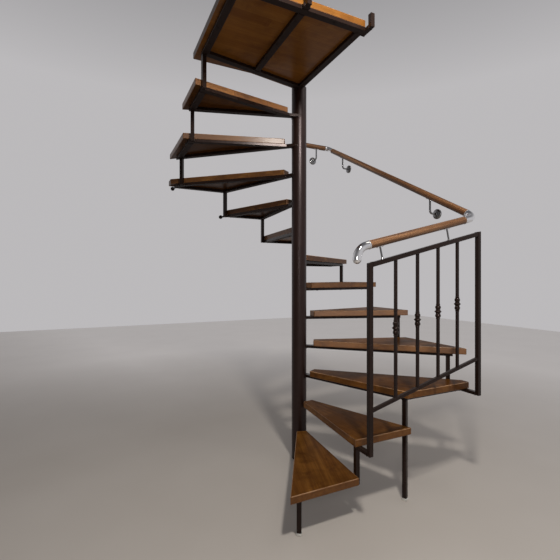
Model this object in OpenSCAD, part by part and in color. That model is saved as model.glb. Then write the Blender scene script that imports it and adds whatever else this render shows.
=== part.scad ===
// Square plan spiral staircase: a round steel column, twelve wooden winder treads on
// welded steel frames, a square landing, one guard panel and a round wooden handrail.
// Units are millimetres and +Z is up. The origin is the centre of the foot of the column.
// The column axis is Z and the sides of the square plan are parallel to X and Y.

/* [Column] */
// Diameter of the round column
column_d = 108; // [100:1:114]

/* [Treads] */
// Number of treads between the floor and the landing
tread_count = 12;
// Height of the first step above the floor
first_rise = 235; // [225:1:245]
// Height of every other step
rise = 210; // [200:1:215]
// Compass angle of the middle of the lowest tread
first_angle = -108.5; // [-109.5:0.5:-107.5]
// Turn of the stair from one tread to the next
turn = 25.9; // [25.8:0.05:26]
// Angle by which the lowest tread is narrower than the others, at its front edge
first_narrow = 1; // [0:0.1:2]
// Half of the side of the square plan
half_side = 800; // [780:5:815]
// Thickness of a wooden tread
board_t = 40; // [32:1:45]
// Overlap of each tread over the one below
overlap = 25; // [15:1:25]
// Distance from the column axis to the inner end of a tread
board_start = 105; // [100:1:115]

/* [Steel frames] */
// Width of the flat tube of the frames
bar_w = 40; // [35:1:42]
// Height of the flat tube of the frames
bar_h = 20; // [18:1:25]
// Reach of a wooden tread past its frame at the outer side
overhang = 38; // [30:1:45]
// Side of the square tube of the struts and of the floor posts
strut_w = 25; // [20:1:28]
// Distance from the line between two treads back to the middle of their strut
strut_back = 28; // [27:0.5:30]
// Move of the strut behind the tenth tread towards the column
strut_in_10 = 30; // [10:1:32]
// Move of the strut behind the eleventh tread towards the column
strut_in_11 = 9; // [0:1:20]
// Side of the foot under a floor post
foot_w = 32; // [30:1:36]
// Height of the foot under a floor post
foot_h = 12; // [8:1:16]

/* [Landing] */
// Distance from the side of the square plan in to the far side of the landing
landing_back = 35; // [20:1:60]
// Reach of the landing past the column axis at its inner side
landing_past = 5; // [0:1:12]
// Distance from the side of the square plan in to the outer side of the landing
landing_in = 10; // [0:1:25]
// Reach of the landing past the column axis at its front edge, beside the column
landing_nose_in = 27; // [24:1:34]
// Distance from the column axis back to the front edge at the outer corner
landing_nose_out = 40; // [30:1:50]
// Distance from the column axis to the bend in the front edge
landing_bend = 393; // [380:1:410]
// Side of the square tube of the hangers that tie the landing to the floor above
hanger_w = 25; // [20:1:28]
// Distance from the far side of the landing out to the middle of a hanger
hanger_out = 35; // [30:1:40]
// Height of the top of a hanger above the landing
hanger_up = 16; // [10:1:22]
// Length of the corner arm along the side of the landing
hanger_hold = 45; // [40:1:60]

/* [Guard] */
// Distance from the side of the square plan out to the middle of the guard
guard_out = 82; // [75:1:90]
// Position of the lower guard post along the side
guard_x1 = -59; // [-60:1:-54]
// Height of the lower guard post above the second tread
guard_h = 953; // [930:1:965]
// Slope of the guard and of the handrail above it in degrees
guard_slope = 13.8; // [13.5:0.1:14]
// Side of the square tube of the guard posts and rails
guard_tube = 25; // [22:1:28]
// Side of the square bar of the bottom rail
bottom_rail_w = 18; // [15:1:22]
// Height of the top of the bottom rail above the foot of the lower guard post
bottom_rail_up = 244; // [232:1:256]
// Number of balusters in the guard
baluster_count = 4;
// Side of a square baluster
baluster_w = 14; // [12:1:16]
// Distance from the lower guard post to the first baluster
baluster_in = 174; // [166:1:180]
// Distance between two balusters
baluster_pitch = 159; // [154:1:162]
// Diameter of the pointed middle bead of the collar on a baluster
bead_d = 40; // [36:1:44]
// Height of the middle bead
bead_h = 28; // [24:1:32]
// Diameter of the two round outer beads of the collar
end_bead_d = 31; // [29:1:34]
// Distance from the middle bead to an outer bead
bead_pitch = 24; // [22:1:26]
// Distance from the middle of the bottom rail up to the middle of a collar
collar_up = 384; // [365:1:400]

/* [Handrail] */
// Diameter of the round handrail
rail_d = 45; // [40:1:48]
// Distance from the top of the guard up to the axis of the handrail
rail_up = 94; // [88:1:102]
// Reach of the wooden handrail past the lower guard post
rail_past = 9; // [0:1:16]
// Distance from the side of the square plan to the right wall
side_wall_gap = 25; // [18:1:33]
// Distance from the side of the square plan to the back wall
back_wall_gap = 38; // [31:1:45]
// Slope of the handrail on the right wall in degrees
wall_slope = 29.2; // [28.8:0.1:29.6]
// Distance from the side of the square plan in to the far end of the handrail
back_rail_in = 410; // [380:1:440]
// Bend radius of the lower handrail joint
joint_r = 75; // [65:1:80]
// Bend radius of the upper handrail joint
back_joint_r = 45; // [40:1:55]
// Length of the straight sleeve on the lower side of a joint
joint_sleeve = 38; // [25:1:45]
// Bend radius of the lower end of the handrail
end_bend_r = 76; // [70:1:84]
// Length of the straight part of the lower end, before its bend
end_straight = 17; // [10:1:24]
// Thickness of the cap on the upper end of the handrail
end_cap_t = 10; // [6:1:14]
// Diameter of the pins that carry the handrail on the guard
pin_d = 10; // [8:1:12]
// Distance from the lower guard post to the lower pin
pin_in_1 = 83; // [70:1:100]
// Distance from the lower guard post to the upper pin
pin_in_2 = 580; // [560:1:600]
// Distance from the handrail to the wall
wall_gap = 73; // [65:1:80]
// Diameter of the wall rosettes
rosette_d = 70; // [60:1:76]
// Thickness of the wall rosettes
rosette_t = 8; // [6:1:10]
// Diameter of the arm of a wall bracket
arm_d = 14; // [12:1:16]
// Bend radius of the arm of a wall bracket
arm_bend_r = 22; // [18:1:28]
// Drop of a wall rosette below the axis of the handrail
bracket_drop = 120; // [112:1:126]
// Distance from the side of the square plan in to the lower bracket on the right wall
bracket_in_1 = 273; // [255:1:290]
// Distance from the side of the square plan in to the upper bracket on the right wall
bracket_in_2 = 279; // [265:1:295]
// Distance from the side of the square plan in to the bracket on the back wall
bracket_in_3 = 190; // [180:1:200]

/* [Wall fixings] */
// Diameter of the round bars that tie two frames to the back wall
fixing_d = 14; // [12:1:16]
// Diameter of the round plates of these bars on the wall
plate_d = 32; // [28:1:36]
// Thickness of the round plates
plate_t = 8; // [6:1:10]
// Sideways reach of the bar of the ninth frame, from the frame to its plate
plate_reach_09 = 37; // [33:1:41]
// Sideways reach of the bar of the tenth frame, from the frame to its plate
plate_reach_10 = 14; // [10:1:18]

/* [Hidden] */
$fn = 64;
column_r = column_d / 2;
rail_r = rail_d / 2;
half_turn = turn / 2;
// front face of a strut, which is also the outer face of a frame at its back edge
bar_past = strut_back - strut_w / 2;
frame_half = half_side - overhang;
strut_half = frame_half - strut_w / 2;
landing_top = first_rise + tread_count * rise;
landing_under = landing_top - board_t;
landing_low = landing_under - bar_h;
far = 3 * half_side;
guard_y = -half_side - guard_out;
guard_x2 = frame_half + guard_tube / 2;
baluster_x1 = guard_x1 + baluster_in;
landing_depth = half_side - landing_back;
landing_side = half_side - landing_in;
hanger_y = -landing_depth - hanger_out;
wall_x = half_side + side_wall_gap;
wall_y = half_side + back_wall_gap;
wall_rail_x = wall_x - wall_gap;
back_rail_y = wall_y - wall_gap;
back_rail_end = half_side - back_rail_in;
rail_x1 = guard_x1 - rail_past;
middle_bar_x = -(frame_half + bar_w) / 2;

function tread_top(k) = first_rise + (k - 1) * rise;
function frame_low(k) = tread_top(k) - board_t - bar_h;
function tread_angle(k) = first_angle + (k - 1) * turn;
// compass angle of the line between tread k and the next one; line 0 is the front of the stair
function line_angle(k) = tread_angle(k) + half_turn + (k == 0 ? first_narrow : 0);
function side(v) = v < 0 ? -1 : 1;

// distance along a line at the given angle, moved sideways, to the sides of a square
function reach(a, s, h) = min(
    abs(cos(a)) < 0.01 ? far : (side(cos(a)) * h + s * sin(a)) / cos(a),
    abs(sin(a)) < 0.01 ? far : (side(sin(a)) * h - s * cos(a)) / sin(a));

// height of the top of the guard and of the handrail axis above it
foot_to_top = guard_h + board_t + bar_h;
function guard_top(x) = frame_low(2) + foot_to_top + (x - guard_x1) * tan(guard_slope);
function rail_z(x) = guard_top(x) + rail_up;
corner_z = rail_z(wall_rail_x);
function wall_rail_z(y) = corner_z + (y - guard_y) * tan(wall_slope);

// Shapes that are used again.

// tread k between the lines before and behind it, with its overlap over both, seen from above
module wedge(k) {
    f = tread_angle(k) - line_angle(k - 1);
    b = line_angle(k) - tread_angle(k);
    front = overlap / 2 / cos(f);
    back = overlap / 2 / cos(b);
    rotate(tread_angle(k))
        polygon([
            [board_start, -board_start * tan(f) - front],
            [far, -far * tan(f) - front],
            [far, far * tan(b) + back],
            [board_start, board_start * tan(b) + back]]);
}

// a square around the column axis, seen from above
module plan_square(h) {
    translate([-h, -h])
        square([2 * h, 2 * h]);
}

// a straight strip that runs out from the column beside a line, seen from above
module strip(a, from, to) {
    rotate(a)
        translate([0, from])
            square([far, to - from]);
}

// all that lies between two distances sideways from a line through the column
module beside(a, from, to) {
    rotate(a)
        translate([-far, from])
            square([2 * far, to - from]);
}

module column_plan() {
    circle(column_r);
}

// the front bar of a frame and all that lies before it
module front_cut(k) {
    beside(line_angle(k - 1), -far, bar_past + bar_w);
}

// the back bar of a frame and all that lies behind it
module back_cut(k) {
    beside(line_angle(k), bar_past - bar_w, far);
}

// a solid placed by an axis to follow, a sideways axis and a corner point
module place(x_axis, y_axis, at) {
    z_axis = cross(x_axis, y_axis);
    multmatrix([
        [x_axis[0], y_axis[0], z_axis[0], at[0]],
        [x_axis[1], y_axis[1], z_axis[1], at[1]],
        [x_axis[2], y_axis[2], z_axis[2], at[2]],
        [0, 0, 0, 1]])
        children();
}

function unit(v) = v / norm(v);
function bend_angle(d1, d2) = acos(d1 * d2);
function tangent(d1, d2, r) = r * tan(bend_angle(d1, d2) / 2);

// a round bend that joins a line arriving along d1 at a point with one leaving along d2
module bend(p, d1, d2, r, radius) {
    t = tangent(d1, d2, r);
    n = unit(d2 - (d2 * d1) * d1);
    place(-n, d1, p - t * d1 + r * n)
        rotate_extrude(angle = bend_angle(d1, d2))
            translate([r, 0])
                circle(radius);
}

// a round bar from one point along a direction
module round_bar(p, d, length, radius) {
    up = abs(d[2]) > 0.99 ? [1, 0, 0] : [0, 0, 1];
    x_axis = unit(cross(up, d));
    place(x_axis, cross(d, x_axis), p)
        cylinder(h = length, r = radius);
}

rail_dir = [cos(guard_slope), 0, sin(guard_slope)];
wall_dir = [0, cos(wall_slope), sin(wall_slope)];
back_dir = [-1, 0, 0];
front_corner = [wall_rail_x, guard_y, corner_z];
back_corner = [wall_rail_x, back_rail_y, wall_rail_z(back_rail_y)];
front_leg = tangent(rail_dir, wall_dir, joint_r);
back_leg = tangent(wall_dir, back_dir, back_joint_r);

// The column.

module column() {
    color("#2b211c")
        cylinder(h = landing_under, r = column_r);
}

// The wooden treads.

module tread(k) {
    color("#8a5428")
        translate([0, 0, tread_top(k) - board_t])
            linear_extrude(board_t)
                intersection() {
                    plan_square(half_side);
                    wedge(k);
                }
}

module tread_01() { tread(1); }
module tread_02() { tread(2); }
module tread_03() { tread(3); }
module tread_04() { tread(4); }
module tread_05() { tread(5); }
module tread_06() { tread(6); }
module tread_07() { tread(7); }
module tread_08() { tread(8); }
module tread_09() { tread(9); }
module tread_10() { tread(10); }
module tread_11() { tread(11); }
module tread_12() { tread(12); }

// The steel frames under the treads.

module tread_front_bars() {
    color("#2b211c")
        for (k = [1 : tread_count])
            translate([0, 0, frame_low(k)])
                linear_extrude(bar_h)
                    difference() {
                        intersection() {
                            plan_square(frame_half);
                            strip(line_angle(k - 1), bar_past, bar_past + bar_w);
                        }
                        column_plan();
                    }
}

module tread_back_bars() {
    color("#2b211c")
        for (k = [1 : tread_count])
            translate([0, 0, frame_low(k)])
                linear_extrude(bar_h)
                    difference() {
                        intersection() {
                            plan_square(frame_half);
                            strip(line_angle(k), bar_past - bar_w, bar_past);
                        }
                        column_plan();
                        front_cut(k);
                    }
}

// number of the side of the square that a line out from the column meets
function side_of(a) = floor((a + 405) / 90);
function has_corner(k) = side_of(line_angle(k - 1)) != side_of(line_angle(k));

// the strip along one side of the square that the outer bars lie in
module side_strip(n) {
    rotate(90 * n - 360)
        translate([frame_half - bar_w, -frame_half])
            square([bar_w, 2 * frame_half]);
}

module tread_end_bars() {
    color("#2b211c")
        for (k = [1 : tread_count])
            translate([0, 0, frame_low(k)])
                linear_extrude(bar_h)
                    difference() {
                        side_strip(side_of(line_angle(k)));
                        front_cut(k);
                        back_cut(k);
                    }
}

module tread_corner_bars() {
    color("#2b211c")
        for (k = [1 : tread_count])
            if (has_corner(k))
                translate([0, 0, frame_low(k)])
                    linear_extrude(bar_h)
                        difference() {
                            side_strip(side_of(line_angle(k - 1)));
                            side_strip(side_of(line_angle(k)));
                            front_cut(k);
                            back_cut(k);
                        }
}

// The struts between the frames and the posts on the floor.

function strut_in(k) = k == 10 ? strut_in_10 : k == 11 ? strut_in_11 : 0;

// a square tube behind the line between tread k and the next one
module strut_at(k, low, high, w) {
    a = line_angle(k);
    out = reach(a, strut_back, strut_half) - strut_in(k);
    rotate(a)
        translate([out - w / 2, strut_back - w / 2, low])
            cube([w, w, high - low]);
}

module struts() {
    color("#2b211c")
        for (k = [1 : tread_count])
            strut_at(k, frame_low(k), k == tread_count ? landing_low : frame_low(k + 1), strut_w);
}

module floor_posts() {
    color("#2b211c") {
        strut_at(0, foot_h, frame_low(1), strut_w);
        strut_at(2, foot_h, frame_low(2), strut_w);
    }
}

module post_feet() {
    color("#d8d6cf") {
        strut_at(0, 0, foot_h, foot_w);
        strut_at(2, 0, foot_h, foot_w);
    }
}

// The landing.

// its front edge is square to the side as far as the middle bar and then turns to the column
module landing_plan() {
    polygon([
        [landing_past, landing_nose_in],
        [-landing_bend, -landing_nose_out],
        [-landing_side, -landing_nose_out],
        [-landing_side, -landing_depth],
        [landing_past, -landing_depth]]);
}

module landing_board() {
    color("#8a5428")
        translate([0, 0, landing_under])
            linear_extrude(board_t)
                landing_plan();
}

module landing_square() {
    translate([-frame_half, -landing_depth])
        square([frame_half + landing_past, landing_depth + half_side]);
}

module landing_front_strip() {
    strip(line_angle(tread_count), bar_past, bar_past + bar_w);
}

module landing_front_bar() {
    color("#2b211c")
        translate([0, 0, landing_low])
            linear_extrude(bar_h)
                difference() {
                    intersection() {
                        landing_square();
                        landing_front_strip();
                    }
                    column_plan();
                }
}

module landing_far_bar() {
    color("#2b211c")
        translate([-frame_half, -landing_depth, landing_low])
            cube([frame_half + landing_past, bar_w, bar_h]);
}

module landing_cross_bar_plan(x) {
    difference() {
        translate([x, -landing_depth + bar_w])
            square([bar_w, landing_depth]);
        rotate(line_angle(tread_count))
            translate([0, -far])
                square([far, far + bar_past + bar_w]);
        if (x > -bar_w) {
            translate([-far, -landing_depth + bar_w])
                difference() {
                    square([2 * far, 2 * far]);
                    square([2 * far, landing_depth - bar_w]);
                }
            column_plan();
        }
    }
}

module landing_cross_bars() {
    color("#2b211c")
        translate([0, 0, landing_low])
            linear_extrude(bar_h) {
                landing_cross_bar_plan(-frame_half);
                landing_cross_bar_plan(middle_bar_x);
                landing_cross_bar_plan(landing_past - bar_w);
            }
}

// the arms carry the hangers: one beside the landing, one on the line of its middle bar
module hanger_arms() {
    color("#2b211c") {
        translate([landing_past, hanger_y + hanger_w / 2, landing_low])
            cube([hanger_w, hanger_out - hanger_w / 2 + hanger_hold, bar_h]);
        translate([middle_bar_x, hanger_y + hanger_w / 2, landing_low])
            cube([bar_w, hanger_out - hanger_w / 2, bar_h]);
    }
}

module ceiling_hanger(x) {
    translate([x - hanger_w / 2, hanger_y - hanger_w / 2, landing_low])
        cube([hanger_w, hanger_w, landing_top + hanger_up - landing_low]);
}

module ceiling_hangers() {
    color("#2b211c") {
        ceiling_hanger(landing_past + hanger_w / 2);
        ceiling_hanger(middle_bar_x + bar_w / 2);
    }
}

// The guard.

module guard_brackets() {
    color("#2b211c") {
        translate([guard_x1 - guard_tube / 2, guard_y + guard_tube / 2, frame_low(2)])
            cube([guard_tube, half_side - frame_half + guard_out - guard_tube / 2, bar_h]);
        translate([frame_half, guard_y + guard_tube / 2, frame_low(3)])
            cube([guard_tube, half_side - frame_half + guard_out + guard_tube, bar_h]);
    }
}

module guard_post(x, low) {
    translate([0, guard_y + guard_tube / 2, 0])
        rotate([90, 0, 0])
            linear_extrude(guard_tube)
                polygon([
                    [x - guard_tube / 2, low],
                    [x + guard_tube / 2, low],
                    [x + guard_tube / 2, guard_top(x + guard_tube / 2)],
                    [x - guard_tube / 2, guard_top(x - guard_tube / 2)]]);
}

module guard_posts() {
    color("#2b211c") {
        guard_post(guard_x1, frame_low(2));
        guard_post(guard_x2, frame_low(3));
    }
}

top_rail_t = guard_tube / cos(guard_slope);
bottom_rail_t = bottom_rail_w / cos(guard_slope);
rail_from = guard_x1 + guard_tube / 2;
rail_to = guard_x2 - guard_tube / 2;
bottom_rail_drop = foot_to_top - bottom_rail_up;

// a sloping rail between the posts, its top a given drop below the top of the guard
module guard_rail(drop, w, t) {
    translate([0, guard_y + w / 2, -drop])
        rotate([90, 0, 0])
            linear_extrude(w)
                polygon([
                    [rail_from, guard_top(rail_from) - t],
                    [rail_to, guard_top(rail_to) - t],
                    [rail_to, guard_top(rail_to)],
                    [rail_from, guard_top(rail_from)]]);
}

module guard_rails() {
    color("#2b211c") {
        guard_rail(0, guard_tube, top_rail_t);
        guard_rail(bottom_rail_drop, bottom_rail_w, bottom_rail_t);
    }
}

// the collar of a baluster: a pointed bead between two round ones
module collar() {
    for (m = [0, 1])
        mirror([0, 0, m])
            cylinder(h = bead_h / 2, r1 = bead_d / 2, r2 = baluster_w / 2);
    for (i = [-1, 1])
        translate([0, 0, i * bead_pitch])
            sphere(d = end_bead_d);
}

module baluster(x) {
    low = guard_top(x) - bottom_rail_drop;
    high = guard_top(x) - top_rail_t;
    slope_gap = baluster_w / 2 * tan(guard_slope);
    translate([0, guard_y + baluster_w / 2, 0])
        rotate([90, 0, 0])
            linear_extrude(baluster_w)
                polygon([
                    [x - baluster_w / 2, low - slope_gap],
                    [x + baluster_w / 2, low + slope_gap],
                    [x + baluster_w / 2, high + slope_gap],
                    [x - baluster_w / 2, high - slope_gap]]);
    translate([x, guard_y, low - bottom_rail_t / 2 + collar_up])
        collar();
}

module guard_balusters() {
    color("#2b211c")
        for (i = [0 : baluster_count - 1])
            baluster(baluster_x1 + i * baluster_pitch);
}

// The handrail.

rail_start = [rail_x1, guard_y, rail_z(rail_x1)];
lower_length = (wall_rail_x - rail_x1) / cos(guard_slope) - front_leg - joint_sleeve;
wall_length = (back_rail_y - guard_y) / cos(wall_slope) - front_leg - back_leg - joint_sleeve;

module lower_handrail() {
    color("#a3652f")
        round_bar(rail_start, rail_dir, lower_length, rail_r);
}

module wall_handrail() {
    color("#a3652f")
        round_bar(front_corner + front_leg * wall_dir, wall_dir, wall_length, rail_r);
}

module back_handrail() {
    color("#a3652f")
        round_bar(back_corner + back_leg * back_dir, back_dir,
            wall_rail_x - back_leg - back_rail_end, rail_r);
}

module handrail_front_joint() {
    color("#c9ccce")
        bend(front_corner, rail_dir, wall_dir, joint_r, rail_r);
}

module handrail_back_joint() {
    color("#c9ccce")
        bend(back_corner, wall_dir, back_dir, back_joint_r, rail_r);
}

down = [0, 0, -1];
end_leg = tangent(-rail_dir, down, end_bend_r);
end_corner = rail_start - (end_straight + end_leg) * rail_dir;

// the lower end of the handrail turns down
module handrail_end_bend() {
    color("#c9ccce")
        bend(end_corner, -rail_dir, down, end_bend_r, rail_r);
}

module handrail_end_tip() {
    color("#c9ccce")
        translate(end_corner + end_leg * down)
            rotate_extrude()
                difference() {
                    circle(rail_r);
                    translate([-rail_d, -rail_d])
                        square([rail_d, 2 * rail_d]);
                    square([rail_d, rail_d]);
                }
}

// the straight sleeves between the wood and the bends
module handrail_sleeves() {
    color("#c9ccce") {
        round_bar(rail_start - end_straight * rail_dir, rail_dir, end_straight, rail_r);
        round_bar(front_corner - (front_leg + joint_sleeve) * rail_dir, rail_dir,
            joint_sleeve, rail_r);
        round_bar(back_corner - (back_leg + joint_sleeve) * wall_dir, wall_dir,
            joint_sleeve, rail_r);
    }
}

module handrail_end_cap() {
    color("#c9ccce")
        translate([back_rail_end, back_rail_y, back_corner[2]])
            rotate([0, -90, 0])
                cylinder(h = end_cap_t, r = rail_r);
}

// a pin square to the guard, from its top to the underside of the handrail
module rail_pin(x) {
    foot = [x, guard_y, guard_top(x)];
    up_dir = [-sin(guard_slope), 0, cos(guard_slope)];
    difference() {
        round_bar(foot, up_dir, rail_up * cos(guard_slope), pin_d / 2);
        round_bar(rail_start, rail_dir, lower_length, rail_r);
    }
}

module handrail_pins() {
    color("#c9ccce") {
        rail_pin(guard_x1 + pin_in_1);
        rail_pin(guard_x1 + pin_in_2);
    }
}

// a rosette on the wall with an arm that goes out under the rail and turns up to it
module wall_bracket(at, to_wall, rail_axis) {
    foot = at + wall_gap * to_wall - bracket_drop * [0, 0, 1];
    elbow = at - bracket_drop * [0, 0, 1];
    difference() {
        union() {
            round_bar(foot - rosette_t * to_wall, to_wall, rosette_t, rosette_d / 2);
            round_bar(elbow + arm_bend_r * to_wall, to_wall,
                wall_gap - arm_bend_r - rosette_t / 2, arm_d / 2);
            bend(elbow, -to_wall, [0, 0, 1], arm_bend_r, arm_d / 2);
            round_bar(elbow + arm_bend_r * [0, 0, 1], [0, 0, 1],
                bracket_drop - arm_bend_r, arm_d / 2);
        }
        round_bar(at - rosette_d * rail_axis, rail_axis, 2 * rosette_d, rail_r);
    }
}

module wall_brackets() {
    color("#c9ccce") {
        for (y = [bracket_in_1 - half_side, half_side - bracket_in_2])
            wall_bracket([wall_rail_x, y, wall_rail_z(y)], [1, 0, 0], wall_dir);
        wall_bracket([half_side - bracket_in_3, back_rail_y, back_corner[2]], [0, 1, 0], back_dir);
    }
}

// The round bars that tie the ninth and the tenth frame to the back wall.

// a bar from the outer side of a frame to its plate on the wall, which lies a reach further out
module wall_fixing(foot_x, reach_x, z) {
    at_frame = [foot_x, frame_half, z];
    at_wall = [foot_x - reach_x, wall_y, z];
    d = unit(at_wall - at_frame);
    difference() {
        round_bar(at_frame - fixing_d * d, d, norm(at_wall - at_frame) + 2 * fixing_d, fixing_d / 2);
        translate([-far, frame_half - far, z - far])
            cube([2 * far, far, 2 * far]);
        translate([-far, wall_y - plate_t / 2, z - far])
            cube([2 * far, far, 2 * far]);
    }
    round_bar(at_wall - [0, plate_t, 0], [0, 1, 0], plate_t, plate_d / 2);
}

// the bar stands at the back corner of the ninth frame and at the outer corner of the tenth
fixing_foot_09 = -frame_half / tan(180 - line_angle(9)) - fixing_d / 4;
fixing_foot_10 = fixing_d - frame_half;

module wall_fixings() {
    color("#2b211c") {
        wall_fixing(fixing_foot_09, plate_reach_09, frame_low(9) + bar_h / 2);
        wall_fixing(fixing_foot_10, plate_reach_10, frame_low(10) + bar_h / 2);
    }
}

column();
tread_01();
tread_02();
tread_03();
tread_04();
tread_05();
tread_06();
tread_07();
tread_08();
tread_09();
tread_10();
tread_11();
tread_12();
tread_front_bars();
tread_back_bars();
tread_end_bars();
tread_corner_bars();
struts();
floor_posts();
post_feet();
landing_board();
landing_front_bar();
landing_far_bar();
landing_cross_bars();
hanger_arms();
ceiling_hangers();
guard_brackets();
guard_posts();
guard_rails();
guard_balusters();
lower_handrail();
wall_handrail();
back_handrail();
handrail_end_tip();
handrail_end_bend();
handrail_sleeves();
handrail_front_joint();
handrail_back_joint();
handrail_end_cap();
handrail_pins();
wall_brackets();
wall_fixings();
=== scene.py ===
import bpy
import bmesh
import math
import random
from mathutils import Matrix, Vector


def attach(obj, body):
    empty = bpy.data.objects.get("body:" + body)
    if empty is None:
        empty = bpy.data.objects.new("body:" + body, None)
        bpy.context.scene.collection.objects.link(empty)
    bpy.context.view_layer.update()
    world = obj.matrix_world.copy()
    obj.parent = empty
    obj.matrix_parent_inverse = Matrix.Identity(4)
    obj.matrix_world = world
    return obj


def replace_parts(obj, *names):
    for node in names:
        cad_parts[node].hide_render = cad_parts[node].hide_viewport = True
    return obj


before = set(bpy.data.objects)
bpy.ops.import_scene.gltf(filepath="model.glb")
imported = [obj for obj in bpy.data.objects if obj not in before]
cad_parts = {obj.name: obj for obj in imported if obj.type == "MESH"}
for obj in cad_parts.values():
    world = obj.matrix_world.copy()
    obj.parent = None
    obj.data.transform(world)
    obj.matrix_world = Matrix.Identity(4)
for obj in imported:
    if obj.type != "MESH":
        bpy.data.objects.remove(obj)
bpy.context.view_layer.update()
random.seed(11)

# Sizes that the dressing shares with the part, in metres and degrees: treads, frames and struts
TREADS = 12
FIRST_RISE = 0.235
RISE = 0.210
FIRST_ANGLE = -108.5
TURN = 25.9
FIRST_NARROW = 1.0
COLUMN_R = 0.054
BOARD_T = 0.040
BAR_W = 0.040
BAR_H = 0.020
BAR_PAST = 0.0155
FRAME_HALF = 0.762
STRUT_W = 0.025
STRUT_BACK = 0.028
STRUT_HALF = 0.7495
# two upper struts stand nearer to the column than the others
STRUT_NEARER = {10: 0.030, 11: 0.009}

# Landing and its hangers
LANDING_TOP = FIRST_RISE + TREADS * RISE
LANDING_LOW = LANDING_TOP - BOARD_T - BAR_H
LANDING_DEPTH = 0.765
LANDING_PAST = 0.005
MIDDLE_BAR_X = -0.401
HANGER_W = 0.025
HANGER_Y = -0.800
# how far the corner arm runs in past its hanger
CORNER_ARM = 0.0675

# Guard panel
GUARD_SLOPE = 13.8
GUARD_Y = -0.882
GUARD_X1 = -0.059
GUARD_X2 = 0.7745
GUARD_T = 0.025
GUARD_FULL = 1.013
LOW_RAIL_T = 0.018
LOW_RAIL_DROP = GUARD_FULL - 0.244
SIDE_BRACKET_Y = -0.7225
BALUSTERS = (0.115, 0.274, 0.433, 0.592)
BALUSTER_W = 0.014
COLLAR_UP = 0.384

# Handrail and its fittings
WALL_SLOPE = 29.2
RAIL_R = 0.0225
RAIL_UP = 0.094
RAIL_X1 = -0.068
WALL_RAIL_X = 0.752
BACK_RAIL_Y = 0.765
BACK_RAIL_END = 0.390
SLEEVE = 0.038
FRONT_BEND_R = 0.075
BACK_BEND_R = 0.045
PINS = (0.024, 0.521)
WALL_GAP = 0.073
DROP = 0.120
BRACKETS_Y = (-0.527, 0.521)
BRACKET_X = 0.610
SADDLE_T = 0.0024
UP = Vector((0, 0, 1))


def tread_angle(k):
    return FIRST_ANGLE + (k - 1) * TURN


def line_angle(k):
    return tread_angle(k) + TURN / 2 + (FIRST_NARROW if k == 0 else 0.0)


def frame_low(k):
    return FIRST_RISE + (k - 1) * RISE - BOARD_T - BAR_H


def out(angle, r, side, z):
    """The point at r out from the column along a compass angle, moved sideways."""
    c, s = math.cos(math.radians(angle)), math.sin(math.radians(angle))
    return Vector((r * c - side * s, r * s + side * c, z))


def reach(angle, side, half):
    """How far out such a line meets the sides of a square of the given half side."""
    c, s = math.cos(math.radians(angle)), math.sin(math.radians(angle))
    # a line along a side never meets it
    never = 9.0
    to_x = (math.copysign(half, c) + side * s) / c if abs(c) > 0.01 else never
    to_y = (math.copysign(half, s) - side * c) / s if abs(s) > 0.01 else never
    return min(to_x, to_y)


def guard_top(x):
    return frame_low(2) + GUARD_FULL + (x - GUARD_X1) * math.tan(math.radians(GUARD_SLOPE))


def rail_z(x):
    return guard_top(x) + RAIL_UP


def wall_rail_z(y):
    return rail_z(WALL_RAIL_X) + (y - GUARD_Y) * math.tan(math.radians(WALL_SLOPE))


GUARD_LEAN = math.radians(GUARD_SLOPE)
WALL_LEAN = math.radians(WALL_SLOPE)
GUARD_COS = math.cos(GUARD_LEAN)
RAIL_DIR = Vector((GUARD_COS, 0, math.sin(GUARD_LEAN)))
PIN_DIR = Vector((-math.sin(GUARD_LEAN), 0, GUARD_COS))
WALL_DIR = Vector((0, math.cos(WALL_LEAN), math.sin(WALL_LEAN)))
BACK_DIR = Vector((-1, 0, 0))
FRONT_CORNER = Vector((WALL_RAIL_X, GUARD_Y, rail_z(WALL_RAIL_X)))
BACK_CORNER = Vector((WALL_RAIL_X, BACK_RAIL_Y, wall_rail_z(BACK_RAIL_Y)))


# Node helpers

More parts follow.
